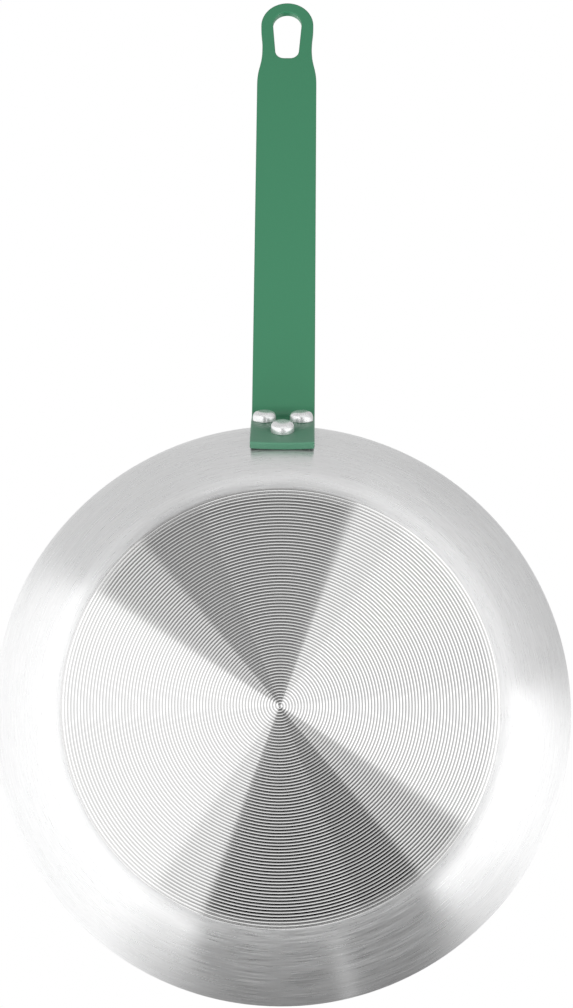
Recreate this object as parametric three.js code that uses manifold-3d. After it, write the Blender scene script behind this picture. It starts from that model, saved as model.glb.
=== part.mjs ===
// Frying pan: a pressed aluminium body, a bent flat strip for a handle, and the rivets that hold it.
// Millimetres, +Z up. The origin is the middle of the base's underside and the handle points along +X.
import * as THREE from "three";
import { mergeVertices } from "three/addons/utils/BufferGeometryUtils.js";
import Module from "manifold-3d";

// Pan body
const RIM_DIAMETER = 280;
const BASE_DIAMETER = 206; // flat of the underside
const PAN_HEIGHT = 42;
const WALL = 4;
const CORNER_RADIUS = 16; // outside, between the base and the flank
const RIM_LEAN = 18; // degrees from upright, of the wall at the rim

// Strip handle
const STRIP_WIDTH = 31;
const STRIP_THICKNESS = 4;
const FLANGE_DROP = 34.5; // rim to the flange's lower end, along the wall
const BEND_RADIUS = 10; // inside of the bend
const HANDLE_RISE = 13.3; // degrees above level
const HANDLE_REACH = 378; // pan axis to the tip
const NECK_WIDTH = 26;
const NECK_FROM_TIP = 28;
const SHOULDER_LENGTH = 22; // from the neck to the full width
const EYE_WIDTH = 27.5;

// Hanging hole, measured from the tip along the grip
const HOLE_MARGIN = 5.9; // tip to the hole
const HOLE_WIDTH = 15;
const HOLE_FOOT_WIDTH = 12.4;
const HOLE_LENGTH = 27.8;
const HOLE_FOOT_RADIUS = 4.5;

// Rivets
const RIVET_HEAD_DIAMETER = 11.4;
const RIVET_HEAD_HEIGHT = 4.3;
const RIVET_TAIL_DIAMETER = 12.4; // head inside the pan
const RIVET_TAIL_HEIGHT = 2.2;
const SHANK_DIAMETER = 6;
const UPPER_RIVET_DROP = 8.2; // rim to the axis, along the wall
const LOWER_RIVET_DROP = 22.8;
const UPPER_RIVET_SPACING = 18;
const DOME_POWER = 0.6; // below 1 gives a button, 1 gives an ellipse

// Clearances
const SEAT_GAP = 0.3; // between pieces that bear on each other
const SHANK_GAP = 0.3; // round a shank in its hole

// Facets
const RING_STEPS = 96;
const RIVET_STEPS = 28;
const FLANK_STEPS = 7;
const CORNER_STEPS = 4;
const BEND_STEPS = 8;
const DOME_STEPS = 6;
const CURVE_STEPS = 10;

const CUT_REACH = 2 * HANDLE_REACH; // longer than anything that is cut
const CUT_MARGIN = 2; // how far a cutter stands past a face
const MERGE_DISTANCE = 1e-4; // points closer than this are one

const radians = THREE.MathUtils.degToRad;
const point = (x, z) => new THREE.Vector2(x, z);

// In the plane of the handle a direction is named by the slope of the surface: 0 is level, 90 is upright.
// outward is the surface's normal there, pointing out of the pan and down.
const outward = (slope) => point(Math.sin(slope), -Math.cos(slope));
const offset = (from, slope, distance) => from.clone().addScaledVector(outward(slope), distance);

// The slopes from one value to another in even steps.
const sweep = (from, to, steps) =>
  Array.from({ length: steps + 1 }, (_, i) => from + ((to - from) * i) / steps);

// The wall's outside is two tangent arcs: the corner rises from the base's edge, and the flank goes on
// to the rim, where it has its set lean. The flank's radius follows from the tangency.
const rimSlope = radians(90 - RIM_LEAN);
const rimEdge = point(RIM_DIAMETER / 2, PAN_HEIGHT);
const cornerCentre = point(BASE_DIAMETER / 2, CORNER_RADIUS);
const span = rimEdge.clone().sub(cornerCentre);
const flankRadius =
  (span.lengthSq() - CORNER_RADIUS ** 2) / (2 * (span.dot(outward(rimSlope)) - CORNER_RADIUS));
const flankCentre = offset(rimEdge, rimSlope, -flankRadius);
const joint = cornerCentre.clone().sub(flankCentre).divideScalar(flankRadius - CORNER_RADIUS);
const jointSlope = Math.atan2(joint.x, -joint.y);
const insideRimSlope = Math.acos((flankRadius * Math.cos(rimSlope)) / (flankRadius - WALL));

// Points of the wall moved along its normal: positive is outside the pan.
const corner = (shift, slopes) => slopes.map((s) => offset(cornerCentre, s, CORNER_RADIUS + shift));
const flank = (shift, slopes) => slopes.map((s) => offset(flankCentre, s, flankRadius + shift));
const slopeAtDrop = (drop) => rimSlope - drop / flankRadius;

const wasm = await Module();
wasm.setup();

// A closed geometry as a solid that can be cut and joined.
function solidOf(geometry) {
  geometry.deleteAttribute("normal");
  geometry.deleteAttribute("uv");
  const merged = mergeVertices(geometry, MERGE_DISTANCE);
  return new wasm.Manifold(
    new wasm.Mesh({
      numProp: 3,
      vertProperties: merged.attributes.position.array,
      triVerts: new Uint32Array(merged.index.array),
    }),
  );
}

function meshOf(name, solid, material) {
  const made = solid.getMesh();
  const geometry = new THREE.BufferGeometry();
  geometry.setAttribute("position", new THREE.BufferAttribute(made.vertProperties, 3));
  geometry.setIndex(new THREE.BufferAttribute(made.triVerts, 1));
  geometry.computeVertexNormals();
  const mesh = new THREE.Mesh(geometry, material);
  mesh.name = name;
  return mesh;
}

// A profile of radius and height turned about the Z axis.
const turned = (profile, steps) => new THREE.LatheGeometry(profile, steps).rotateX(Math.PI / 2);

// A side view in X and Z, made as wide as the given width across Y.
const acrossY = (outline, width) =>
  new THREE.ExtrudeGeometry(new THREE.Shape(outline), { depth: width, bevelEnabled: false })
    .rotateX(Math.PI / 2)
    .translate(0, width / 2, 0);

// The frame of a rivet: its Z axis is the wall's normal at that drop below the rim, from the wall's outside.
function rivetFrame({ drop, across }) {
  const slope = slopeAtDrop(drop);
  const [seat] = flank(0, [slope]);
  const axis = outward(slope);
  const z = new THREE.Vector3(axis.x, 0, axis.y);
  const y = new THREE.Vector3(0, 1, 0);
  const x = y.clone().cross(z);
  return new THREE.Matrix4().makeBasis(x, y, z).setPosition(seat.x, across, seat.y);
}

const RIVETS = [
  { name: "rivet_left", drop: UPPER_RIVET_DROP, across: -UPPER_RIVET_SPACING / 2 },
  { name: "rivet_right", drop: UPPER_RIVET_DROP, across: UPPER_RIVET_SPACING / 2 },
  { name: "rivet_lower", drop: LOWER_RIVET_DROP, across: 0 },
];

// Holes for the shanks, through the wall and the flange together.
function shankHoles() {
  const radius = SHANK_DIAMETER / 2 + SHANK_GAP;
  const length = 2 * (WALL + STRIP_THICKNESS);
  const hole = () => new THREE.CylinderGeometry(radius, radius, length, RIVET_STEPS).rotateX(Math.PI / 2);
  return RIVETS.map((rivet) => solidOf(hole().applyMatrix4(rivetFrame(rivet))));
}

const drilled = (solid) => shankHoles().reduce((left, hole) => left.subtract(hole), solid);

// The pressed body: a flat base, the corner and flank outside and inside, and a level rim.
function panBody() {
  const profile = [
    point(0, 0),
    ...corner(0, sweep(0, jointSlope, CORNER_STEPS)),
    ...flank(0, sweep(jointSlope, rimSlope, FLANK_STEPS).slice(1)),
    ...flank(-WALL, sweep(insideRimSlope, jointSlope, FLANK_STEPS)),
    ...corner(-WALL, sweep(jointSlope, 0, CORNER_STEPS).slice(1)),
    point(0, WALL),
  ];
  return drilled(solidOf(turned(profile, RING_STEPS)));
}

// The space inside the pan, kept one seat gap off the wall and open past the rim.
function insideSpace() {
  const shift = -(WALL + SEAT_GAP);
  const [top] = flank(shift, [rimSlope]);
  const profile = [
    point(0, WALL + SEAT_GAP),
    ...corner(shift, sweep(0, jointSlope, CORNER_STEPS)),
    ...flank(shift, sweep(jointSlope, rimSlope, FLANK_STEPS).slice(1)),
    point(0, top.y),
  ];
  return solidOf(turned(profile, RING_STEPS));
}

const gripSlope = radians(HANDLE_RISE);
const flangeBack = SEAT_GAP;
const flangeFront = SEAT_GAP + STRIP_THICKNESS;
const [bendStart] = flank(flangeFront, [rimSlope]);
const bendCentre = offset(bendStart, rimSlope, BEND_RADIUS);
const bend = (radius, slopes) => slopes.map((s) => offset(bendCentre, s, -radius));
const [gripStart] = bend(BEND_RADIUS, [gripSlope]);
const tip = point(HANDLE_REACH, gripStart.y + (HANDLE_REACH - gripStart.x) * Math.tan(gripSlope));

// The strip seen from the side: the flange against the wall, the bend at the rim and the rising grip.
function stripSide() {
  const flangeSlopes = sweep(slopeAtDrop(FLANGE_DROP), rimSlope, FLANK_STEPS);
  const bendSlopes = sweep(rimSlope, gripSlope, BEND_STEPS);
  const past = tip.clone().add(point(Math.cos(gripSlope), Math.sin(gripSlope)).multiplyScalar(CUT_MARGIN));
  return [
    ...flank(flangeBack, flangeSlopes),
    ...bend(BEND_RADIUS + STRIP_THICKNESS, bendSlopes).slice(1),
    offset(past, gripSlope, -STRIP_THICKNESS),
    past,
    ...bend(BEND_RADIUS, bendSlopes.toReversed()),
    ...flank(flangeFront, flangeSlopes.toReversed()).slice(1),
  ];
}

// The pear-shaped hanging hole: round towards the tip, narrower and squarer towards the pan.
function hangingHole() {
  const head = HOLE_WIDTH / 2;
  const foot = HOLE_FOOT_WIDTH / 2;
  const headCentre = -(HOLE_MARGIN + head);
  const end = -(HOLE_MARGIN + HOLE_LENGTH);
  const footCentre = end + HOLE_FOOT_RADIUS;
  const hole = new THREE.Path();
  hole.absarc(headCentre, 0, head, -Math.PI / 2, Math.PI / 2, false);
  hole.lineTo(footCentre, foot);
  hole.absarc(footCentre, foot - HOLE_FOOT_RADIUS, HOLE_FOOT_RADIUS, Math.PI / 2, Math.PI, false);
  hole.absarc(footCentre, HOLE_FOOT_RADIUS - foot, HOLE_FOOT_RADIUS, Math.PI, 1.5 * Math.PI, false);
  hole.closePath();
  return hole;
}

// The strip seen square to the grip, with the tip at 0: full width, shoulders, neck and round eye.
function stripOutline() {
  const half = STRIP_WIDTH / 2;
  const neck = NECK_WIDTH / 2;
  const eye = EYE_WIDTH / 2;
  const shoulder = -(NECK_FROM_TIP + SHOULDER_LENGTH);
  const shoulderMiddle = shoulder + SHOULDER_LENGTH / 2;
  const neckToEye = -(NECK_FROM_TIP + eye) / 2;
  const outline = new THREE.Shape();
  outline.moveTo(-CUT_REACH, -half);
  outline.lineTo(shoulder, -half);
  outline.bezierCurveTo(shoulderMiddle, -half, shoulderMiddle, -neck, -NECK_FROM_TIP, -neck);
  outline.bezierCurveTo(neckToEye, -neck, neckToEye, -eye, -eye, -eye);
  outline.absarc(-eye, 0, eye, -Math.PI / 2, Math.PI / 2, false);
  outline.bezierCurveTo(neckToEye, eye, neckToEye, neck, -NECK_FROM_TIP, neck);
  outline.bezierCurveTo(shoulderMiddle, neck, shoulderMiddle, half, shoulder, half);
  outline.lineTo(-CUT_REACH, half);
  outline.closePath();
  outline.holes.push(hangingHole());
  return outline;
}

// The handle: the bent strip, cut square to the grip by its outline and drilled for the rivets.
function handle() {
  const bent = solidOf(acrossY(stripSide(), STRIP_WIDTH + 2 * CUT_MARGIN));
  const along = new THREE.Vector3(Math.cos(gripSlope), 0, Math.sin(gripSlope));
  const across = new THREE.Vector3(0, 1, 0);
  const up = along.clone().cross(across);
  const place = new THREE.Matrix4().makeBasis(along, across, up).setPosition(tip.x, 0, tip.y);
  const cutter = new THREE.ExtrudeGeometry(stripOutline(), {
    depth: CUT_REACH,
    bevelEnabled: false,
    curveSegments: CURVE_STEPS,
  });
  cutter.translate(0, 0, -CUT_REACH / 2).applyMatrix4(place);
  return drilled(bent.intersect(solidOf(cutter)));
}

// Half a rivet head from its rim to its crown, as radius and height.
const dome = (diameter, height) =>
  sweep(0, Math.PI / 2, DOME_STEPS).map((turn) =>
    point((diameter / 2) * Math.cos(turn) ** DOME_POWER, height * Math.sin(turn) ** DOME_POWER),
  );

// One rivet: a button head on the flange, the shank, and a low head shaped to the wall inside the pan.
function rivet(spec) {
  const frame = rivetFrame(spec);
  const radius = SHANK_DIAMETER / 2;
  const headSeat = flangeFront + SEAT_GAP;
  const shankEnd = -(WALL + RIVET_TAIL_HEIGHT / 2);
  const outside = [
    point(0, shankEnd),
    point(radius, shankEnd),
    point(radius, headSeat),
    ...dome(RIVET_HEAD_DIAMETER, RIVET_HEAD_HEIGHT).map((p) => p.add(point(0, headSeat))),
  ];
  const tailCrown = dome(RIVET_TAIL_DIAMETER, RIVET_TAIL_HEIGHT).map((p) => point(p.x, -WALL - p.y));
  const tail = [...tailCrown.toReversed(), point(RIVET_TAIL_DIAMETER / 2, 0), point(0, 0)];
  const place = (profile) => solidOf(turned(profile, RIVET_STEPS).applyMatrix4(frame));
  return place(outside).add(place(tail).intersect(insideSpace()));
}

const aluminium = new THREE.MeshStandardMaterial({ color: 0xc8cacb, roughness: 0.35, metalness: 1 });
const greenCoat = new THREE.MeshStandardMaterial({ color: 0x4b8b67, roughness: 0.45, metalness: 0 });
const rivetMetal = new THREE.MeshStandardMaterial({ color: 0xdadcdc, roughness: 0.4, metalness: 1 });

const pan = new THREE.Group();
pan.add(meshOf("pan_body", panBody(), aluminium));
pan.add(meshOf("handle", handle(), greenCoat));
for (const spec of RIVETS) pan.add(meshOf(spec.name, rivet(spec), rivetMetal));

export default pan;
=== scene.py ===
"""Frying pan: a pressed aluminium body with a spiral-turned base, a coated strip handle and three rivets.

Metres, +Z up, the origin in the middle of the base's underside and the handle along +X.
The sizes below are in millimetres unless a comment says otherwise, and the pan's are those of the solids.
"""

import math

import bpy
import numpy as np
from mathutils import Matrix, Vector


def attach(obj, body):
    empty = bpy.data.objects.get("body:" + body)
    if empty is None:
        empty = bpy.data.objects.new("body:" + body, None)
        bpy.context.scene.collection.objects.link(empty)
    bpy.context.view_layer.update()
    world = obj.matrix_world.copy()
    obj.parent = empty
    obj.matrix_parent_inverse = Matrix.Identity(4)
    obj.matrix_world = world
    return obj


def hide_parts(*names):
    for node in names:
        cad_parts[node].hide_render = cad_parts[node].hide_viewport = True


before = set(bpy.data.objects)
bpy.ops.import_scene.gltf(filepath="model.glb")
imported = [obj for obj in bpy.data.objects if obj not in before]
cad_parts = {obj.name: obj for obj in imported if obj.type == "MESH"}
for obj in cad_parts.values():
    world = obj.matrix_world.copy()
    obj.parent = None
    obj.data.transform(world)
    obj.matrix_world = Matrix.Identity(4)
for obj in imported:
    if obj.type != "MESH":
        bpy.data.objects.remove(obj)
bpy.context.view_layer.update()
scene = bpy.context.scene

MM = 0.001

# Pan body
RIM_RADIUS = 140.0
BASE_RADIUS = 103.0
PAN_HEIGHT = 42.0
WALL = 4.0
CORNER_RADIUS = 16.0
RIM_LEAN = 18.0
RIM_ROUNDING = 1.3

# Spiral turned under the base: land and groove share each turn, and phases are shares of a turn
GROOVE_TURNS = 71
GROOVE_DISC_RADIUS = 102.6
CENTRE_PITCH = 1.40
PITCH_GROWTH = 0.000654
GROOVE_DEPTH = 0.115
GROOVE_PHASES = np.array([0.0, 0.125, 0.25, 0.375, 0.5])
GROOVE_SHAPE = np.array([0.0, 0.55, 1.0, 0.55, 0.0])
CRISP_PHASES = (0, 2, 4)
GROOVE_FADE = 0.3
EDGE_SLOPE = 0.1

# Coat on the inside
COAT_PROUD = 0.12
COAT_DROP = 2.6

# Strip handle
STRIP_WIDTH = 31.0
STRIP_THICKNESS = 4.0
FLANGE_DROP = 34.5
FLANGE_BOW = 0.95
BEND_RADIUS = 10.0
HANDLE_RISE = 13.3
HANDLE_REACH = 378.0
NECK_WIDTH = 26.0
NECK_FROM_TIP = 28.0
SHOULDER_LENGTH = 22.0
EYE_WIDTH = 27.5
EYE_ZONE = 41.0
HOLE_MARGIN = 5.9
HOLE_WIDTH = 15.0
HOLE_FOOT_WIDTH = 12.4
HOLE_LENGTH = 27.8
HOLE_FOOT_RADIUS = 4.5
STRIP_ROUNDING = 0.7
SEAT_GAP = 0.3

# Rivets
RIVET_HEAD_RADIUS = 5.7
RIVET_HEAD_HEIGHT = 4.3
RIVET_TAIL_RADIUS = 6.2
RIVET_TAIL_HEIGHT = 2.2
SHANK_RADIUS = 3.0
UPPER_RIVET_DROP = 8.2
LOWER_RIVET_DROP = 22.8
UPPER_RIVET_SPACING = 18.0
DOME_POWER = 0.6
RIVETS = {
    "rivet_left": (UPPER_RIVET_DROP, -UPPER_RIVET_SPACING / 2),
    "rivet_right": (UPPER_RIVET_DROP, UPPER_RIVET_SPACING / 2),
    "rivet_lower": (LOWER_RIVET_DROP, 0.0),
}

# Fineness of the meshes
COLUMNS = 180
CORNER_POINTS = 9
FLANK_POINTS = 16
INNER_CORNER_POINTS = 7
INNER_FLANK_POINTS = 12
RIM_STEPS = 5
FLANGE_POINTS = 19
BEND_POINTS = 15
GRIP_POINTS = 24
SHOULDER_POINTS = 8
ACROSS_STEPS = 16
EYE_STEPS = 120
EYE_RINGS = 5
CURVE_POINTS = 60
EYE_CURVE_POINTS = 200
DOME_POINTS = 13
RIVET_COLUMNS = 48
ROUNDING_SEGMENTS = 3
CRISP_ANGLE = 50.0

# Brushed aluminium: lines are given per metre across them and in breaks per radian along them
LAND_TINT = (0.84, 0.838, 0.834, 1)
LAND_ROUGHNESS = 0.09
GROOVE_TINT = (0.86, 0.858, 0.854, 1)
GROOVE_ROUGHNESS = 0.10
WALL_BLEND = 0.2
BRUSH_OVERLAP = 5.0
SHORT_STROKES = (2100.0, 14.0)
LONG_STROKES = (1300.0, 4.0)
LONG_SHARE = 0.45
STROKE_RANGE = (0.39, 0.61)
STROKE_TINTS = ((0.85, 0.852, 0.855, 1), (0.99, 0.99, 0.99, 1))
STROKE_ROUGHNESS = 0.27
STROKE_ROUGHNESS_SPAN = 0.06
STROKE_BUMP = 0.22
STROKE_HEIGHT = 0.2
BROAD_BANDS = (260.0, 3.0)
BAND_SHARE = 0.7
BAND_TINT = (0.90, 0.902, 0.905, 1)
SCRATCHES = (3100.0, 5.0)
SCRATCH_RANGE = (0.38, 0.62)
SCRATCH_DULLING = (0.04, 0.27)
ANISOTROPY = 1.0
QUARTER_TURN = 0.25

# Aluminium of the rivets: dents and grain are given per metre
RIVET_TINTS = ((0.84, 0.843, 0.845, 1), (0.95, 0.952, 0.955, 1))
RIVET_DENTS = 420.0
RIVET_GRAIN = 2600.0
RIVET_ROUGHNESS = 0.24
RIVET_ROUGHNESS_SPAN = 0.08
RIVET_BUMP = 0.1
RIVET_DENT_DEPTH = 0.3
RIVET_METALLIC = 0.7

# Green powder coat: drift, grain and skin are given per metre, and where the painted sheen on the flange
# fades in along X in metres
POWDER_TINTS = ((0.028, 0.213, 0.100, 1), (0.033, 0.228, 0.109, 1))
POWDER_GRAIN_TINT = (0.037, 0.236, 0.114, 1)
POWDER_FLANGE_SHEEN_TINT = (0.092, 0.275, 0.170, 1)
POWDER_FLANGE_SHEEN_REACH = (0.146, 0.136)
POWDER_DRIFT = 16.0
POWDER_GRAIN = 1500.0
POWDER_SKIN = 700.0
POWDER_ROUGHNESS = 0.27
POWDER_ROUGHNESS_SPAN = 0.10
POWDER_BUMP = 0.08
POWDER_SKIN_HEIGHT = 0.3
POWDER_SPECULAR = 0.65

# Non-stick coat: flecks and their choice are given per metre
NONSTICK_TINTS = ((0.024, 0.024, 0.026, 1), (0.038, 0.038, 0.040, 1))
NONSTICK_LINES = (900.0, 4.0)
NONSTICK_ROUGHNESS = 0.30
NONSTICK_ROUGHNESS_SPAN = 0.16
NONSTICK_BUMP = 0.10
NONSTICK_LINE_HEIGHT = 0.2
FLECK_TINT = (0.115, 0.115, 0.12, 1)
FLECK_CELLS = 420.0
FLECK_EDGE = (0.10, 0.22)
FLECK_CHOICE = 240.0
FLECK_CHOICE_RANGE = (0.50, 0.60)

# Camera: under the pan, a little towards the far side, looking up, with the handle up in the picture.
# Its clip is in metres.
CAMERA_PLACE = np.array([-69.2, 15.1, -1119.4]) * MM
CAMERA_LENS = 85.8
CAMERA_SENSOR = 36.0
CAMERA_CLIP = (0.01, 50.0)
CAMERA_TILT, CAMERA_YAW, CAMERA_ROLL = np.radians([8.34, -0.65, -0.39])

# Stage, in metres: the floor carries the pan and shows only from above, so the underside is seen from below
FLOOR_RADIUS = 12.0
FLOOR_DROP = 0.0004
FLOOR_SIDES = 64
FLOOR_FADE = (0.45, 1.6)
FLOOR_TINT = (0.9, 0.9, 0.9, 1)
WHITE = (1, 1, 1, 1)
LAMP_SIZE = 0.9
LAMP_TARGET = (0.1, 0.0, 0.03)
LAMPS = {
    "lamp_left": ((0.0, -1.1, -1.1), 11.0),
    "lamp_right": ((0.0, 1.1, -1.1), 10.0),
    "lamp_foot": ((-1.2, 0.0, -1.0), 10.0),
}
SUN_POWER = 2.1
SUN_SPREAD = 30.0
SUN_TURN = (20.0, -14.0, 0.0)
SCATTERED_LIGHT = 0.3

# Studio shell in metres and degrees: each panel has its two azimuths and a level for each band of tilt
STUDIO_RADIUS = 1.9
SHELL_COLUMNS = 480
SHELL_ROWS = 240
SHELL_TILTS = (0.2, 179.8)
PANEL_EDGE = 2.5
HIGH_PANEL_EDGE = 30.0
HIGH_TILTS = (68, 130)
TILT_EDGE = 3.0
STUDIO_TILTS = (-20, 18, 48, 90, 200)
STUDIO_PANELS = {
    "upper_right": ((7, 71), (0.55, 1.0, 0.8, 0.6)),
    "top": ((71, 112), (0.13, 1.05, 0.65, 0.75)),
    "upper_left": ((112, 131), (0.18, 0.8, 0.65, 0.75)),
    "left_start": ((131, 148), (0.25, 0.8, 0.65, 0.75)),
    "left": ((148, 235), (0.85, 1.6, 1.2, 1.2)),
    "left_end": ((235, 249.5), (0.55, 1.25, 1.1, 0.5)),
    "foot": ((249.5, 311), (0.0, 0.31, 0.17, 0.18)),
    "right_end": ((311, 327.5), (0.18, 1.0, 1.4, 0.85)),
    "right": ((327.5, 367), (0.6, 1.15, 1.5, 1.2)),
}
STREAK = (282.5, 286)
STREAK_TILT = 55
STREAK_LEVEL = 0.28

# The wall's outside is two tangent arcs, the corner and the flank. A slope is 0 where the surface is level
# and a right angle where it is upright, and outward is the surface's normal out of the pan and down.


def outward(slope):
    """Normal in the plane of X and Z for each slope: its sine along X, its cosine down."""
    slope = np.asarray(slope, float)
    return np.stack([np.sin(slope), -np.cos(slope)], -1)


rim_slope = math.radians(90 - RIM_LEAN)
rim_edge = np.array([RIM_RADIUS, PAN_HEIGHT])
corner_centre = np.array([BASE_RADIUS, CORNER_RADIUS])
span = rim_edge - corner_centre
flank_radius = (span @ span - CORNER_RADIUS**2) / (2 * (span @ outward(rim_slope) - CORNER_RADIUS))
flank_centre = rim_edge - flank_radius * outward(rim_slope)
to_corner = (corner_centre - flank_centre) / (flank_radius - CORNER_RADIUS)
joint_slope = math.atan2(to_corner[0], -to_corner[1])
inside_rim_slope = math.acos(flank_radius * math.cos(rim_slope) / (flank_radius - WALL))


def corner(shift, slopes):
    """Points of the corner arc, moved outwards along its normal by the shift."""
    return corner_centre + (CORNER_RADIUS + shift) * outward(slopes)


def flank(shift, slopes):
    """Points of the flank arc, moved outwards along its normal by the shift."""
    return flank_centre + (flank_radius + shift) * outward(slopes)


def slope_at_drop(drop):
    """Slope of the flank at a distance below the rim, measured along the wall."""
    return rim_slope - drop / flank_radius


def rounded(start, middle, end, steps):
    """Quadratic curve from start to end that leaves towards the middle point, without its two ends."""
    t = np.linspace(0, 1, steps + 1)[1:-1, None]
    return (1 - t) ** 2 * start + 2 * t * (1 - t) * middle + t**2 * end


def arc_length(points):
    """Distance along a chain of points from its first one."""
    steps = np.linalg.norm(np.diff(points, axis=0), axis=1)
    return np.concatenate([[0.0], np.cumsum(steps)])


def new_piece(name, points, polygon_sets, material, slot):
    """An object from points in millimetres and arrays of polygons, each array of one number of corners."""
    corners = np.concatenate([p.ravel() for p in polygon_sets]).astype(np.int32)
    sizes = np.concatenate([np.full(len(p), p.shape[1]) for p in polygon_sets])
    starts = np.concatenate([[0], np.cumsum(sizes)[:-1]]).astype(np.int32)
    mesh = bpy.data.meshes.new(name)
    mesh.vertices.add(len(points))
    mesh.vertices.foreach_set("co", (np.asarray(points) * MM).astype(np.float32).ravel())
    mesh.loops.add(len(corners))
    mesh.loops.foreach_set("vertex_index", corners)
    mesh.polygons.add(len(sizes))
    mesh.polygons.foreach_set("loop_start", starts)
    mesh.polygons.foreach_set("use_smooth", np.ones(len(sizes), bool))
    mesh.update(calc_edges=True)
    mesh.materials.append(material)
    piece = bpy.data.objects.new(name, mesh)
    scene.collection.objects.link(piece)
    if slot:
        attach(piece, "root")
    return piece


def point_value(piece, name, values):
    """A number stored on each point of a piece, for its material."""
    stored = piece.data.attributes.new(name, "FLOAT", "POINT")
    stored.data.foreach_set("value", np.asarray(values, np.float32))


def ring_quads(first, rows, columns):
    """Quads between rows of closed rings whose points are numbered row by row from the first."""
    row, column = np.meshgrid(np.arange(rows - 1), np.arange(columns), indexing="ij")
    after = (column + 1) % columns
    here, there = first + row * columns, first + (row + 1) * columns
    return np.stack([here + column, there + column, there + after, here + after], -1).reshape(-1, 4)


def turned(profile, columns):
    """A profile of radius and height carried round the Z axis, from its pole on top to its pole below."""
    angle = np.arange(columns) * 2 * math.pi / columns
    inner = profile[1:-1]
    rings = np.stack(
        [
            inner[:, :1] * np.cos(angle),
            inner[:, :1] * np.sin(angle),
            np.repeat(inner[:, 1:], columns, axis=1),
        ],
        -1,
    ).reshape(-1, 3)
    poles = np.array([[0, 0, profile[0, 1]], [0, 0, profile[-1, 1]]])
    points = np.concatenate([rings, poles])
    rows = len(inner)
    column = np.arange(columns)
    after = (column + 1) % columns
    last = (rows - 1) * columns
    start_fan = np.stack([np.full(columns, rows * columns), column, after], -1)
    end_fan = np.stack([last + column, np.full(columns, rows * columns + 1), last + after], -1)
    return points, [ring_quads(0, rows, columns), start_fan, end_fan]


# Materials


def connect(tree, node, links):
    """Inputs of a node: sockets are linked and values set."""
    for key, value in links.items():
        if isinstance(value, bpy.types.NodeSocket):
            tree.links.new(value, node.inputs[key])
        else:
            node.inputs[key].default_value = value


def put(tree, kind, links=None, **settings):
    """A node of that kind, with settings as its properties and links as its inputs."""
    made = tree.nodes.new("ShaderNode" + kind)
    for key, value in settings.items():
        setattr(made, key, value)
    connect(tree, made, links or {})
    return made


def reckon(tree, operation, *terms):
    """The result of a Math node on those terms."""
    return put(tree, "Math", dict(enumerate(terms)), operation=operation).outputs[0]


def blend_colour(tree, amount, low, high):
    """A colour between low and high by an amount from 0 to 1."""
    return put(tree, "Mix", {0: amount, 6: low, 7: high}, data_type="RGBA").outputs[2]


def blend_value(tree, amount, low, high):
    """A number between low and high by an amount from 0 to 1."""
    return put(tree, "Mix", {0: amount, 2: low, 3: high}, data_type="FLOAT").outputs[0]


def remap(tree, value, start, end, low=0.0, high=1.0):
    """A value carried from between start and end to between low and high, and held there outside."""
    return put(tree, "MapRange", {0: value, 1: start, 2: end, 3: low, 4: high}).outputs[0]


def noise(tree, place, scale, detail):
    """Soft noise from 0 to 1 at a place, scaled and with so many finer layers."""
    return put(tree, "TexNoise", {"Vector": place, "Scale": scale, "Detail": detail}).outputs[0]


def new_material(name):
    """A material with a Principled shader, its node tree and that shader."""
    material = bpy.data.materials.new(name)
    material.use_nodes = True
    tree = material.node_tree
    return material, tree, tree.nodes["Principled BSDF"]


def bare_material(name):
    """A material for the stage with an empty node tree, and that tree."""
    material = bpy.data.materials.new(name)
    material.use_nodes = True
    material.cycles.emission_sampling = "NONE"
    tree = material.node_tree
    tree.nodes.clear()
    return material, tree


def turning_lines_group():
    """Lines that run round the Z axis: noise on the unit circle of the azimuth and on the run along the
    profile, coarse round the circle and fine across it."""
    group = bpy.data.node_groups.new("turning_lines", "ShaderNodeTree")
    face = group.interface
    face.new_socket("Vector", in_out="INPUT", socket_type="NodeSocketVector")
    for name in ("Run", "Lines per metre", "Breaks per radian"):
        face.new_socket(name, in_out="INPUT", socket_type="NodeSocketFloat")
    face.new_socket("Lines", in_out="OUTPUT", socket_type="NodeSocketFloat")
    enter = group.nodes.new("NodeGroupInput")
    leave = group.nodes.new("NodeGroupOutput")
    level = {0: enter.outputs["Vector"], 1: (1.0, 1.0, 0.0)}
    flat = put(group, "VectorMath", level, operation="MULTIPLY").outputs[0]
    circle = put(group, "VectorMath", {0: flat}, operation="NORMALIZE").outputs[0]
    breaks = {0: circle, "Scale": enter.outputs["Breaks per radian"]}
    spread = put(group, "VectorMath", breaks, operation="SCALE").outputs[0]
    across = reckon(group, "MULTIPLY", enter.outputs["Run"], enter.outputs["Lines per metre"])
    lift = put(group, "CombineXYZ", {2: across}).outputs[0]
    place = put(group, "VectorMath", {0: spread, 1: lift}, operation="ADD").outputs[0]
    group.links.new(noise(group, place, 1.0, 2.0), leave.inputs["Lines"])
    return group


turning_lines = turning_lines_group()


def lines_node(tree, run, per_metre, breaks):
    """The turning lines with their own fineness, from 0 to 1."""
    links = {
        "Vector": put(tree, "TexCoord").outputs["Object"],
        "Run": run,
        "Lines per metre": per_metre,
        "Breaks per radian": breaks,
    }
    return put(tree, "Group", links, node_tree=turning_lines).outputs["Lines"]


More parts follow.
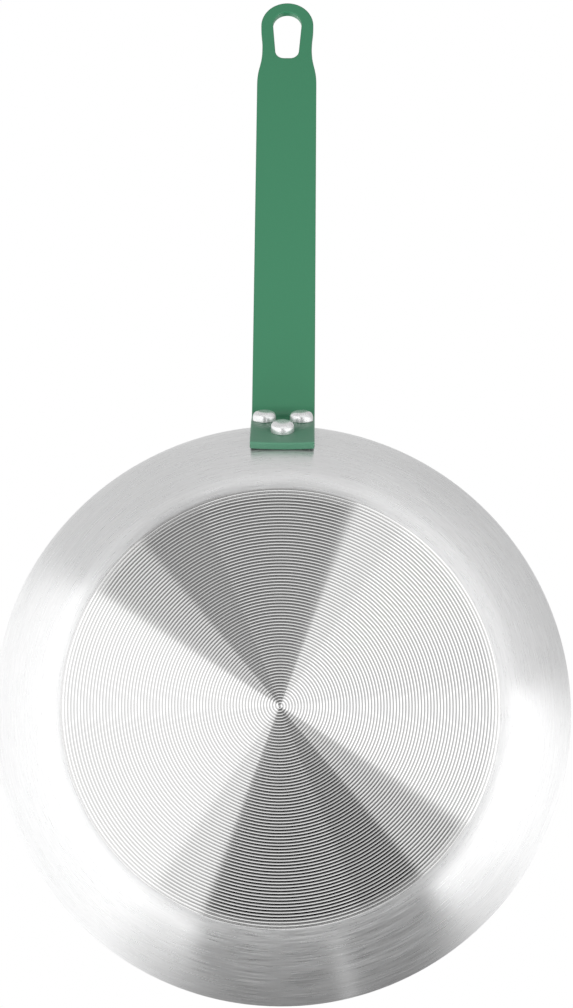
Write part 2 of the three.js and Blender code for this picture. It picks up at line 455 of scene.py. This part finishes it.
def brushed_aluminium():
    """Aluminium brushed round the axis, so its gloss spreads along the profile.

    The wall is brushed coarsely, the lands of the base finely, and the grooves are cut bright. The wall's
    brushing runs a little way in over the disc's edge.
    """
    material, tree, shader = new_material("brushed_aluminium")
    run = put(tree, "Attribute", attribute_name="run").outputs["Fac"]
    edge = GROOVE_DISC_RADIUS * MM
    wall = remap(tree, run, edge - WALL_BLEND * MM, edge)
    overlap = remap(tree, run, edge - BRUSH_OVERLAP * MM, edge)
    groove_face = put(tree, "Attribute", attribute_name="groove").outputs["Fac"]
    groove = reckon(tree, "MINIMUM", groove_face, reckon(tree, "SUBTRACT", 1.0, wall))
    short = lines_node(tree, run, *SHORT_STROKES)
    long = lines_node(tree, run, *LONG_STROKES)
    broad = lines_node(tree, run, *BROAD_BANDS)
    fine = blend_value(tree, LONG_SHARE, short, long)
    strokes = remap(tree, fine, *STROKE_RANGE)
    tint = blend_colour(tree, strokes, *STROKE_TINTS)
    patch = blend_colour(tree, reckon(tree, "MULTIPLY", broad, BAND_SHARE), tint, BAND_TINT)
    smooth = blend_colour(tree, wall, LAND_TINT, patch)
    cut = blend_colour(tree, groove, smooth, GROOVE_TINT)
    rough_wall = reckon(tree, "MULTIPLY_ADD", strokes, STROKE_ROUGHNESS_SPAN, STROKE_ROUGHNESS)
    rough = blend_value(tree, overlap, LAND_ROUGHNESS, rough_wall)
    brushed = reckon(tree, "MULTIPLY", wall, STROKE_BUMP)
    bump = put(tree, "Bump", {"Strength": brushed, "Distance": STROKE_HEIGHT * MM, "Height": fine})
    scratch = remap(tree, lines_node(tree, run, *SCRATCHES), *SCRATCH_RANGE, *SCRATCH_DULLING)
    dull = reckon(tree, "MULTIPLY", wall, scratch)
    links = {
        "Base Color": cut,
        "Roughness": blend_value(tree, groove, rough, GROOVE_ROUGHNESS),
        "Normal": bump.outputs[0],
        "Tangent": put(tree, "Tangent", direction_type="RADIAL", axis="Z").outputs[0],
        "Metallic": reckon(tree, "SUBTRACT", 1.0, dull),
        "Anisotropic": ANISOTROPY,
        "Anisotropic Rotation": QUARTER_TURN,
    }
    connect(tree, shader, links)
    return material


def rivet_aluminium():
    """Upset aluminium: satin, with faint dents and a soft change of tone."""
    material, tree, shader = new_material("rivet_aluminium")
    place = put(tree, "TexCoord").outputs["Object"]
    dents = noise(tree, place, RIVET_DENTS, 3.0)
    grain = noise(tree, place, RIVET_GRAIN, 2.0)
    bump = put(tree, "Bump", {"Strength": RIVET_BUMP, "Distance": RIVET_DENT_DEPTH * MM, "Height": dents})
    links = {
        "Base Color": blend_colour(tree, dents, *RIVET_TINTS),
        "Roughness": reckon(tree, "MULTIPLY_ADD", grain, RIVET_ROUGHNESS_SPAN, RIVET_ROUGHNESS),
        "Normal": bump.outputs[0],
        "Metallic": RIVET_METALLIC,
    }
    connect(tree, shader, links)
    return material


def green_powder_coat():
    """Baked powder coat: an even green with a slow drift of tone and a very fine orange-peel skin.

    It is painted a little paler on the flange, against the wall: a painted sheen and painted bounce light
    from the wall.
    """
    material, tree, shader = new_material("green_powder_coat")
    place = put(tree, "TexCoord").outputs["Object"]
    drift = noise(tree, place, POWDER_DRIFT, 2.0)
    grain = noise(tree, place, POWDER_GRAIN, 2.0)
    skin = noise(tree, place, POWDER_SKIN, 1.0)
    slow = blend_colour(tree, drift, *POWDER_TINTS)
    even = blend_colour(tree, grain, slow, POWDER_GRAIN_TINT)
    reach = put(tree, "SeparateXYZ", {0: place}).outputs[0]
    # Painted sheen: the coat is painted paler and greyer on the flange, standing in for gloss and light
    # bounced off the wall.
    flange_sheen = remap(tree, reach, *POWDER_FLANGE_SHEEN_REACH)
    bump = put(tree, "Bump", {"Strength": POWDER_BUMP, "Distance": POWDER_SKIN_HEIGHT * MM, "Height": skin})
    links = {
        "Base Color": blend_colour(tree, flange_sheen, even, POWDER_FLANGE_SHEEN_TINT),
        "Roughness": reckon(tree, "MULTIPLY_ADD", grain, POWDER_ROUGHNESS_SPAN, POWDER_ROUGHNESS),
        "Normal": bump.outputs[0],
        "Specular IOR Level": POWDER_SPECULAR,
    }
    connect(tree, shader, links)
    return material


def nonstick_coat():
    """Dark satin coat with fine pale flecks and faint turning lines from the metal under it."""
    material, tree, shader = new_material("nonstick_coat")
    place = put(tree, "TexCoord").outputs["Object"]
    run = put(tree, "Attribute", attribute_name="run").outputs["Fac"]
    lines = lines_node(tree, run, *NONSTICK_LINES)
    cells = put(tree, "TexVoronoi", {"Vector": place, "Scale": FLECK_CELLS}, feature="F1")
    near = remap(tree, cells.outputs["Distance"], *FLECK_EDGE, 1.0, 0.0)
    chosen = remap(tree, noise(tree, place, FLECK_CHOICE, 1.0), *FLECK_CHOICE_RANGE)
    fleck = reckon(tree, "MULTIPLY", near, chosen)
    ground = blend_colour(tree, lines, *NONSTICK_TINTS)
    raised = {"Strength": NONSTICK_BUMP, "Distance": NONSTICK_LINE_HEIGHT * MM, "Height": lines}
    links = {
        "Base Color": blend_colour(tree, fleck, ground, FLECK_TINT),
        "Roughness": reckon(tree, "MULTIPLY_ADD", lines, NONSTICK_ROUGHNESS_SPAN, NONSTICK_ROUGHNESS),
        "Normal": put(tree, "Bump", raised).outputs[0],
    }
    connect(tree, shader, links)
    return material


# Pieces


def spiral_base():
    """The underside of the base as a sheet along its spiral.

    Rows follow the spiral: the row of turn n and phase p lies at the radius of n + p + azimuth / one turn,
    where radius = pitch times turns + growth times turns squared. So a column joins the next turn's rows at
    the seam. The groove lies in the first half of each turn and fades out at the disc's edge, past which the
    sheet follows the start of the corner arc. Returns the points, the quads, which of those are groove, the
    triangles at the middle, the phase number of each point, and the outer chain and the seam's end as point
    numbers.
    """
    phases = len(GROOVE_PHASES)
    rows = GROOVE_TURNS * phases
    row = np.arange(rows + phases + 1)
    turn = row // phases + GROOVE_PHASES[row % phases]
    # The first column takes all of these rows, one turn more than the others, to where the last column ends.
    other_rows = np.tile(np.arange(rows + 1), COLUMNS - 1)
    other_columns = np.repeat(np.arange(1, COLUMNS), rows + 1)
    all_rows = np.concatenate([row, other_rows])
    all_columns = np.concatenate([np.zeros(len(row), int), other_columns])
    turns = turn[all_rows] + all_columns / COLUMNS
    radius = CENTRE_PITCH * turns + PITCH_GROWTH * turns**2
    fade = np.clip((GROOVE_DISC_RADIUS - radius) / GROOVE_FADE, 0, 1)
    rise = CORNER_RADIUS - np.sqrt(CORNER_RADIUS**2 - np.maximum(radius - BASE_RADIUS, 0) ** 2)
    height = GROOVE_DEPTH * GROOVE_SHAPE[all_rows % phases] * fade + rise
    azimuth = all_columns * 2 * math.pi / COLUMNS
    points = np.stack([radius * np.cos(azimuth), radius * np.sin(azimuth), height], -1)

    def number(row_index, column_index):
        """The point at a row and column, where one column past the last is the first, a turn further out."""
        wrapped = column_index == COLUMNS
        row_index = np.where(wrapped, row_index + phases, row_index)
        inside = len(row) + (column_index - 1) * (rows + 1) + row_index
        return np.where(wrapped | (column_index == 0), row_index, inside)

    r, c = np.meshgrid(np.arange(rows), np.arange(COLUMNS), indexing="ij")
    corners = [number(r, c), number(r, c + 1), number(r + 1, c + 1), number(r + 1, c)]
    quads = np.stack(corners, -1).reshape(-1, 4)
    groove = (np.repeat(np.arange(rows), COLUMNS) % phases) < phases - 1
    step = np.arange(1, COLUMNS - 1)
    hub_row = np.zeros_like(step)
    hub = np.stack([hub_row, number(hub_row, step + 1), number(hub_row, step)], -1)
    seam = np.arange(phases)
    last = np.full(phases, number(np.array(0), np.array(COLUMNS - 1)))
    hub_seam = np.stack([last, seam, seam + 1], -1)
    outer = number(np.full(COLUMNS + 1, rows), np.arange(COLUMNS + 1))
    outer_seam = np.arange(rows, rows + phases + 1)
    triangles = np.concatenate([hub, hub_seam])
    return points, quads, groove, triangles, all_rows % phases, outer, outer_seam


def pan_profile():
    """Radius and height from the base's edge outside, over the rim and down inside to the flat's edge."""
    turn_back = RIM_ROUNDING / flank_radius
    outer_end = flank(0, rim_slope - turn_back)
    inner_edge = flank(-WALL, inside_rim_slope)
    inner_start = flank(-WALL, inside_rim_slope - RIM_ROUNDING / (flank_radius - WALL))
    outer_top = rim_edge - [RIM_ROUNDING, 0]
    inner_top = inner_edge + [RIM_ROUNDING, 0]
    return np.concatenate(
        [
            corner(0, np.linspace(EDGE_SLOPE, joint_slope, CORNER_POINTS)),
            flank(0, np.linspace(joint_slope, rim_slope - turn_back, FLANK_POINTS)[1:]),
            rounded(outer_end, rim_edge, outer_top, RIM_STEPS),
            [outer_top, inner_top],
            rounded(inner_top, inner_edge, inner_start, RIM_STEPS),
            flank(-WALL, np.linspace(inside_rim_slope - turn_back, joint_slope, INNER_FLANK_POINTS)),
            corner(-WALL, np.linspace(joint_slope, 0, INNER_CORNER_POINTS)[1:]),
        ]
    )


def make_pan_body(material):
    """The pressed body: the spiral base joined to rings along the profile, closed at the inside's middle."""
    points, quads, groove, triangles, phase, outer, outer_seam = spiral_base()
    profile = pan_profile()
    angle = np.arange(COLUMNS) * 2 * math.pi / COLUMNS
    rings = np.stack(
        [
            profile[:, :1] * np.cos(angle),
            profile[:, :1] * np.sin(angle),
            np.repeat(profile[:, 1:], COLUMNS, axis=1),
        ],
        -1,
    ).reshape(-1, 3)
    first = len(points)
    column = np.arange(COLUMNS)
    after = (column + 1) % COLUMNS
    # The edge strip joins the spiral's last row to the first ring. Its first cell takes in the seam.
    edge = np.stack([outer[:-1], outer[1:], first + after, first + column], -1)[1:]
    seam_cell = np.concatenate([[outer[1], first + 1, first], outer_seam[::-1]])[None]
    wall = ring_quads(first, len(profile), COLUMNS)[:, ::-1]
    pole = first + len(rings)
    last = first + (len(profile) - 1) * COLUMNS
    floor_fan = np.stack([last + column, last + after, np.full(COLUMNS, pole)], -1)
    all_points = np.concatenate([points, rings, [[0, 0, WALL]]])
    sets = [quads, triangles, edge, seam_cell, wall, floor_fan]
    piece = new_piece("pan_body_visual", all_points, sets, material, "brushed_aluminium")
    base_run = np.hypot(points[:, 0], points[:, 1])
    wall_run = np.repeat(BASE_RADIUS + CORNER_RADIUS * EDGE_SLOPE + arc_length(profile), COLUMNS)
    end_run = wall_run[-1] + BASE_RADIUS
    point_value(piece, "run", np.concatenate([base_run, wall_run, [end_run]]) * MM)
    mesh = piece.data
    cut = np.zeros(len(mesh.polygons), np.float32)
    cut[: len(quads)] = groove
    stored = mesh.attributes.new("groove", "FLOAT", "FACE")
    stored.data.foreach_set("value", cut)
    ends = np.zeros(2 * len(mesh.edges), np.int32)
    mesh.edges.foreach_get("vertices", ends)
    ends = ends.reshape(-1, 2)
    all_phases = np.concatenate([phase, np.full(len(rings) + 1, -1)])
    start, end = all_phases[ends].T
    crisp = mesh.attributes.new("sharp_edge", "BOOLEAN", "EDGE")
    crisp.data.foreach_set("value", (start == end) & np.isin(start, CRISP_PHASES))
    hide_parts("pan_body")


def make_nonstick_coating(material):
    """The coat on the inside: the inner profile raised by the coat up to near the rim, and back beneath."""
    end_slope = inside_rim_slope - COAT_DROP / (flank_radius - WALL)
    raised = -(WALL + COAT_PROUD)
    beneath = -(WALL - COAT_PROUD / 2)
    top = np.concatenate(
        [
            [[0, WALL + COAT_PROUD], [BASE_RADIUS / 2, WALL + COAT_PROUD]],
            corner(raised, np.linspace(0, joint_slope, CORNER_POINTS)),
            flank(raised, np.linspace(joint_slope, end_slope, FLANK_POINTS)[1:]),
        ]
    )
    under = np.concatenate(
        [
            flank(beneath, np.linspace(end_slope, joint_slope, INNER_FLANK_POINTS)),
            corner(beneath, np.linspace(joint_slope, 0, INNER_CORNER_POINTS)[1:]),
            [[0, WALL - COAT_PROUD / 2]],
        ]
    )
    profile = np.concatenate([top, under])
    points, sets = turned(profile, COLUMNS)
    piece = new_piece("nonstick_coating", points, sets, material, "nonstick_coat")
    run = arc_length(profile)
    point_value(piece, "run", np.concatenate([np.repeat(run[1:-1], COLUMNS), run[[0, -1]]]) * MM)


grip_slope = math.radians(HANDLE_RISE)
flange_front = SEAT_GAP + STRIP_THICKNESS
bend_start = flank(flange_front, rim_slope)
bend_centre = bend_start + BEND_RADIUS * outward(rim_slope)
grip_start = bend_centre - BEND_RADIUS * outward(grip_slope)
grip_along = np.array([math.cos(grip_slope), math.sin(grip_slope)])
grip_length = (HANDLE_REACH - grip_start[0]) / grip_along[0]
flange_length = FLANGE_DROP / flank_radius * (flank_radius + flange_front)
bend_length = BEND_RADIUS * (rim_slope - grip_slope)
hole_middle = -(HOLE_MARGIN + HOLE_LENGTH / 2)


def strip_place(along, across, depth):
    """Places on the strip, from a distance along its front face, one across it and a depth behind it.

    Along the flange the slope grows with the distance on the flank's arc, round the bend it falls with the
    distance on the bend's arc, and on the grip it stays; the point lies on that arc or line, less the depth
    along the outward normal.
    """
    on_flange = np.minimum(along, flange_length)
    on_bend = np.clip(along - flange_length, 0, bend_length)
    on_grip = np.maximum(along - flange_length - bend_length, 0)
    flange_slope = slope_at_drop(FLANGE_DROP) + on_flange / (flank_radius + flange_front)
    slope = np.where(along <= flange_length, flange_slope, rim_slope - on_bend / BEND_RADIUS)
    flange_points = flank(flange_front, flange_slope)
    bend_points = bend_centre - BEND_RADIUS * outward(slope) + on_grip[..., None] * grip_along
    face = np.where((along <= flange_length)[..., None], flange_points, bend_points)
    flat = face - depth * outward(slope)
    return np.stack([flat[..., 0], across, flat[..., 1]], -1)


def half_width(from_tip):
    """Half the strip's width before the tip: full, then two cubics through shoulder and neck."""
    half, neck, eye = STRIP_WIDTH / 2, NECK_WIDTH / 2, EYE_WIDTH / 2
    t = np.linspace(0, 1, CURVE_POINTS)
    ease = 3 * t**2 - 2 * t**3
    glide = (1 - t) ** 3, 3 * t * (1 - t), t**3

    def between(a, b):
        """Places from a to b, closer together halfway."""
        return a * glide[0] + (a + b) / 2 * glide[1] + b * glide[2]

    ends = NECK_FROM_TIP + SHOULDER_LENGTH, NECK_FROM_TIP, eye
    place = np.concatenate([between(ends[0], ends[1]), between(ends[1], ends[2])[1:]])
    width = np.concatenate([half + (neck - half) * ease, (neck + (eye - neck) * ease)[1:]])
    return np.interp(-np.asarray(from_tip), -place, width)


def hole_radius(angles):
    """Distance from the hole's middle to its edge by direction: round head, straight sides, squarer foot."""
    head, foot = HOLE_WIDTH / 2, HOLE_FOOT_WIDTH / 2
    head_centre = -(HOLE_MARGIN + head)
    foot_centre = -(HOLE_MARGIN + HOLE_LENGTH) + HOLE_FOOT_RADIUS
    turn = np.linspace(0, math.pi / 2, CURVE_POINTS)
    head_part = np.stack([head_centre + head * np.cos(turn), head * np.sin(turn)], -1)
    foot_part = np.stack(
        [
            foot_centre - HOLE_FOOT_RADIUS * np.sin(turn),
            foot - HOLE_FOOT_RADIUS + HOLE_FOOT_RADIUS * np.cos(turn),
        ],
        -1,
    )
    side = head_part[-1] + np.linspace(0, 1, CURVE_POINTS)[1:-1, None] * (foot_part[0] - head_part[-1])
    end = foot_part[-1] * [1, 0]
    edge = np.concatenate([head_part, side, foot_part, [end]]) - [hole_middle, 0]
    return np.interp(np.abs(angles), np.arctan2(edge[:, 1], edge[:, 0]), np.hypot(edge[:, 0], edge[:, 1]))


def make_handle(material):
    """The bent strip from its flat pattern, front and back.

    Up to the eye the pattern is a grid of rows along the strip and columns across it. In the eye it is rings
    between the outer outline and the hole, met by angle about the hole's middle. The first ring shares its
    straight part with the grid's last row. Walls join front and back all round.
    """
    length = flange_length + bend_length + grip_length
    straight_length = grip_length - NECK_FROM_TIP - SHOULDER_LENGTH
    along = np.concatenate(
        [
            np.linspace(0, flange_length, FLANGE_POINTS)[:-1],
            flange_length + np.linspace(0, bend_length, BEND_POINTS)[:-1],
            flange_length + bend_length + np.linspace(0, straight_length, GRIP_POINTS)[:-1],
            length - np.linspace(NECK_FROM_TIP + SHOULDER_LENGTH, EYE_ZONE, SHOULDER_POINTS),
        ]
    )
    share = np.linspace(1, -1, ACROSS_STEPS + 1)
    grid_across = half_width(length - along)[:, None] * share
    bow = FLANGE_BOW * (share**2 - 0.5) * np.clip(1 - along / (flange_length / 3), 0, 1)[:, None]
    grid_along = along[:, None] + bow
    # Outline of the eye from the grid's last row round the tip and back.
    eye = EYE_WIDTH / 2
    neck_u = np.linspace(EYE_ZONE, eye, EYE_CURVE_POINTS)
    turn = np.linspace(0, math.pi / 2, EYE_CURVE_POINTS)[1:]
    lower = np.concatenate(
        [
            np.stack([-neck_u, -half_width(neck_u)], -1),
            np.stack([-eye + eye * np.sin(turn), -eye * np.cos(turn)], -1),
        ]
    )
    outline = np.concatenate([lower, (lower * [1, -1])[::-1][1:]])
    travel = arc_length(outline)
    even = np.linspace(0, travel[-1], EYE_STEPS + 1)[1:-1]
    outline = np.stack([np.interp(even, travel, outline[:, axis]) for axis in (0, 1)], -1)
    straight = np.stack([np.full(ACROSS_STEPS + 1, -EYE_ZONE), grid_across[-1]], -1)
    loop = np.concatenate([straight, outline])
    angles = np.arctan2(loop[:, 1], loop[:, 0] - hole_middle)
    hole = np.stack([np.cos(angles), np.sin(angles)], -1) * hole_radius(angles)[:, None] + [hole_middle, 0]
    inward = np.linspace(0, 1, EYE_RINGS + 1)[:, None, None]
    eye_rings = loop + inward * (hole - loop)
    # Points of one face: the grid, the outline, then the inner rings. The loop starts with the grid's last.
    rows, columns = grid_across.shape
    around = len(loop)
    grid_count = rows * columns
    eye_points = np.concatenate([outline, eye_rings[1:].reshape(-1, 2)])
    flat_along = np.concatenate([grid_along.ravel(), length + eye_points[:, 0]])
    flat_across = np.concatenate([grid_across.ravel(), eye_points[:, 1]])
    front = strip_place(flat_along, flat_across, 0.0)
    back = strip_place(flat_along, flat_across, STRIP_THICKNESS)
    r, c = np.meshgrid(np.arange(rows - 1), np.arange(columns - 1), indexing="ij")
    grid = (r * columns + c).reshape(-1, 1) + np.array([0, 1, columns + 1, columns])
    loop_ids = grid_count - columns + np.arange(around)
    inner_ids = grid_count + len(outline) + np.arange(EYE_RINGS * around).reshape(EYE_RINGS, around)
    ring_ids = np.concatenate([loop_ids[None], inner_ids])
    following = np.roll(ring_ids, -1, axis=1)
    eye_quads = np.stack([ring_ids[:-1], following[:-1], following[1:], ring_ids[1:]], -1).reshape(-1, 4)
    face = np.concatenate([grid, eye_quads])
    # The rim of the face in order: up one side, round the tip, down the other side, across the flange.
    side_ids = np.arange(rows) * columns
    flange_ids = np.arange(1, columns - 1)
    rim = np.concatenate([side_ids + columns - 1, loop_ids[columns:], side_ids[::-1], flange_ids])
    count = len(front)
    rim_next = np.roll(rim, -1)
    hole_ids, hole_next = ring_ids[-1], following[-1]
    rim_wall = np.stack([rim, rim_next, rim_next + count, rim + count], -1)
    hole_wall = np.stack([hole_next, hole_ids, hole_ids + count, hole_next + count], -1)
    sets = [face[:, ::-1], face + count, rim_wall, hole_wall]
    piece = new_piece("strip_handle", np.concatenate([front, back]), sets, material, "green_powder_coat")
    edges = piece.modifiers.new("edge_rounding", "BEVEL")
    edges.width = STRIP_ROUNDING * MM
    edges.segments = ROUNDING_SEGMENTS
    edges.limit_method = "ANGLE"
    edges.angle_limit = math.radians(CRISP_ANGLE)
    edges.harden_normals = True
    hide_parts("handle")


def make_rivet(node, drop, across, material):
    """A rivet turned about its own axis and set square to the wall: low head inside, shank, button outside.

    A head is half a superellipse: radius times the cosine and height times the sine of a quarter turn,
    each to the dome's power.
    """
    quarter = np.linspace(0, math.pi / 2, DOME_POINTS)
    wide, tall = np.cos(quarter) ** DOME_POWER, np.sin(quarter) ** DOME_POWER
    wide[-1] = 0.0
    head_seat = flange_front + SEAT_GAP
    tail = np.stack([RIVET_TAIL_RADIUS * wide, -WALL - RIVET_TAIL_HEIGHT * tall], -1)[::-1]
    head = np.stack([RIVET_HEAD_RADIUS * wide, head_seat + RIVET_HEAD_HEIGHT * tall], -1)
    shank = [
        [RIVET_TAIL_RADIUS, -WALL + SEAT_GAP],
        [SHANK_RADIUS, -WALL + SEAT_GAP],
        [SHANK_RADIUS, flange_front],
        [RIVET_HEAD_RADIUS, flange_front],
    ]
    points, sets = turned(np.concatenate([tail, shank, head])[::-1], RIVET_COLUMNS)
    slope = slope_at_drop(drop)
    axis = outward(slope)
    seat = flank(0, slope)
    out = np.array([axis[0], 0, axis[1]])
    over = np.array([0, 1, 0])
    basis = np.stack([np.cross(over, out), over, out])
    placed = points @ basis + [seat[0], across, seat[1]]
    piece = new_piece(node + "_visual", placed, sets, material, "rivet_aluminium")
    piece.data.set_sharp_from_angle(angle=math.radians(CRISP_ANGLE))
    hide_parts(node)


make_pan_body(brushed_aluminium())
make_nonstick_coating(nonstick_coat())
make_handle(green_powder_coat())
rivet_metal = rivet_aluminium()
for node, (drop, across) in RIVETS.items():
    make_rivet(node, drop, across, rivet_metal)

# Stage


def make_floor():
    """A wide pale disc that takes the shadow near the pan and fades to the white of the background.

    From below it is clear, and so it stays for what is then reflected in the pan's underside.
    """
    material, tree = bare_material("floor_paper")
    place = put(tree, "TexCoord").outputs["Object"]
    away = put(tree, "VectorMath", {0: place}, operation="LENGTH").outputs["Value"]
    fade = {0: away, 1: FLOOR_FADE[0], 2: FLOOR_FADE[1], 3: 0.0, 4: 1.0}
    far = put(tree, "MapRange", fade, interpolation_type="SMOOTHSTEP").outputs[0]
    paint = put(tree, "BsdfDiffuse", {"Color": FLOOR_TINT}).outputs[0]
    glow = put(tree, "Emission", {"Color": WHITE, "Strength": 1.0}).outputs[0]
    paper = put(tree, "MixShader", {0: far, 1: paint, 2: glow}).outputs[0]
    clear = put(tree, "BsdfTransparent").outputs[0]
    back = put(tree, "NewGeometry").outputs["Backfacing"]
    passed = put(tree, "LightPath").outputs["Transparent Depth"]
    from_below = reckon(tree, "MAXIMUM", back, reckon(tree, "MINIMUM", passed, 1.0))
    mixed = put(tree, "MixShader", {0: from_below, 1: paper, 2: clear}).outputs[0]
    put(tree, "OutputMaterial", {"Surface": mixed})
    angle = np.arange(FLOOR_SIDES) * 2 * math.pi / FLOOR_SIDES
    points = np.stack([np.cos(angle), np.sin(angle), 0 * angle], -1) * FLOOR_RADIUS - [0, 0, FLOOR_DROP]
    floor = new_piece("floor", points / MM, [np.arange(FLOOR_SIDES)[None]], material, None)
    floor.visible_diffuse = floor.visible_transmission = floor.visible_shadow = False


def soft_step(value):
    """0 below minus a half, 1 above a half, and a smooth cubic between."""
    t = np.clip(value + 0.5, 0, 1)
    return t * t * (3 - 2 * t)


def studio_level(azimuth, tilt):
    """Brightness of the studio in a direction: the sum over its panels of level times two windows.

    A window rises at the panel's one edge and falls at the other by a soft step, so panels that meet blend.
    Round the axis the step widens with the tilt. A narrow streak adds to the foot's panel.
    """
    total = np.zeros_like(azimuth)
    edge = np.interp(tilt, HIGH_TILTS, (PANEL_EDGE, HIGH_PANEL_EDGE))
    for (start, end), levels in STUDIO_PANELS.values():
        middle, half = (start + end) / 2, (end - start) / 2
        turn = (azimuth - middle + 180) % 360 - 180
        round_window = soft_step((turn + half) / edge) - soft_step((turn - half) / edge)
        for low, high, level in zip(STUDIO_TILTS, STUDIO_TILTS[1:], levels):
            tilt_window = soft_step((tilt - low) / TILT_EDGE) - soft_step((tilt - high) / TILT_EDGE)
            total += level * round_window * tilt_window
    streak = soft_step((azimuth - STREAK[0]) / PANEL_EDGE) - soft_step((azimuth - STREAK[1]) / PANEL_EDGE)
    return total + STREAK_LEVEL * streak * soft_step((tilt - STREAK_TILT) / TILT_EDGE)


def make_studio_shell():
    """A sphere round the pan that only reflections see, and no light scattered on from them.

    Its axis points to the camera's mirror image in the base. Azimuth turns about it from +Y towards +X and
    tilt opens from it, both in degrees.
    """
    material, tree = bare_material("studio_panels")
    level = put(tree, "Attribute", attribute_name="level").outputs["Fac"]
    direct = reckon(tree, "LESS_THAN", put(tree, "LightPath").outputs["Diffuse Depth"], 0.5)
    strength = reckon(tree, "MULTIPLY", direct, level)
    glow = put(tree, "Emission", {"Color": WHITE, "Strength": strength}).outputs[0]
    put(tree, "OutputMaterial", {"Surface": glow})
    tilts = np.linspace(*SHELL_TILTS, SHELL_ROWS)
    azimuths = np.arange(SHELL_COLUMNS) * 360 / SHELL_COLUMNS
    tilt, azimuth = np.meshgrid(tilts, azimuths, indexing="ij")
    a, t = np.radians(azimuth), np.radians(tilt)
    axis = CAMERA_PLACE * [-1, -1, 1] / np.linalg.norm(CAMERA_PLACE)
    side = np.cross([1, 0, 0], axis)
    side = side / np.linalg.norm(side)
    turned_to = np.stack([np.cross(axis, side), side, axis])
    directions = np.stack([np.sin(t) * np.sin(a), np.sin(t) * np.cos(a), np.cos(t)], -1).reshape(-1, 3)
    points = directions @ turned_to * STUDIO_RADIUS / MM
    quads = ring_quads(0, SHELL_ROWS, SHELL_COLUMNS)
    shell = new_piece("studio_shell", points, [quads], material, None)
    point_value(shell, "level", studio_level(azimuth, tilt).ravel())
    shell.visible_camera = shell.visible_diffuse = shell.visible_transmission = shell.visible_shadow = False


def make_lamp(name, place, power):
    """A soft square lamp turned to the pan. Reflections show the studio's panels in its stead."""
    light = bpy.data.lights.new(name, "AREA")
    light.shape = "SQUARE"
    light.size = LAMP_SIZE
    light.energy = power
    lamp = bpy.data.objects.new(name, light)
    lamp.location = place
    lamp.rotation_euler = (Vector(LAMP_TARGET) - Vector(place)).to_track_quat("-Z", "Y").to_euler()
    lamp.visible_glossy = False
    scene.collection.objects.link(lamp)


def make_sun():
    """A broad light from above, for the pan seen from its open side."""
    light = bpy.data.lights.new("lamp_over", "SUN")
    light.energy = SUN_POWER
    light.angle = math.radians(SUN_SPREAD)
    sun = bpy.data.objects.new("lamp_over", light)
    sun.rotation_euler = [math.radians(turn) for turn in SUN_TURN]
    sun.visible_glossy = False
    scene.collection.objects.link(sun)


def make_world():
    """A white background, dimmer for the light that it scatters on the pan."""
    world = bpy.data.worlds.new("studio")
    scene.world = world
    world.use_nodes = True
    tree = world.node_tree
    tree.nodes.clear()
    path = put(tree, "LightPath").outputs
    seen = reckon(tree, "MAXIMUM", path["Is Camera Ray"], path["Is Glossy Ray"])
    shown = reckon(tree, "MAXIMUM", seen, path["Is Transmission Ray"])
    strength = blend_value(tree, shown, SCATTERED_LIGHT, 1.0)
    white = put(tree, "Background", {"Color": WHITE, "Strength": strength}).outputs[0]
    put(tree, "OutputWorld", {"Surface": white})


def make_camera():
    """Looks along (sin tilt, sin yaw cos tilt, cos tilt cos yaw) with +X up, then turns by the roll."""
    forward = np.array(
        [
            math.sin(CAMERA_TILT),
            math.sin(CAMERA_YAW) * math.cos(CAMERA_TILT),
            math.cos(CAMERA_TILT) * math.cos(CAMERA_YAW),
        ]
    )
    forward = forward / np.linalg.norm(forward)
    up = np.array([1.0, 0, 0]) - forward[0] * forward
    up = up / np.linalg.norm(up)
    right = np.cross(forward, up)
    rolled_up = up * math.cos(CAMERA_ROLL) + right * math.sin(CAMERA_ROLL)
    rolled_right = right * math.cos(CAMERA_ROLL) - up * math.sin(CAMERA_ROLL)
    lens = bpy.data.cameras.new("camera")
    lens.lens = CAMERA_LENS
    lens.sensor_width = CAMERA_SENSOR
    lens.clip_start, lens.clip_end = CAMERA_CLIP
    camera = bpy.data.objects.new("camera", lens)
    turn = np.eye(4)
    turn[:3] = np.stack([rolled_right, rolled_up, -forward, CAMERA_PLACE], -1)
    camera.matrix_world = Matrix(turn.tolist())
    scene.collection.objects.link(camera)
    scene.camera = camera


make_floor()
make_studio_shell()
for name, (place, power) in LAMPS.items():
    make_lamp(name, place, power)
make_sun()
make_world()
make_camera()
scene.view_settings.view_transform = "Standard"
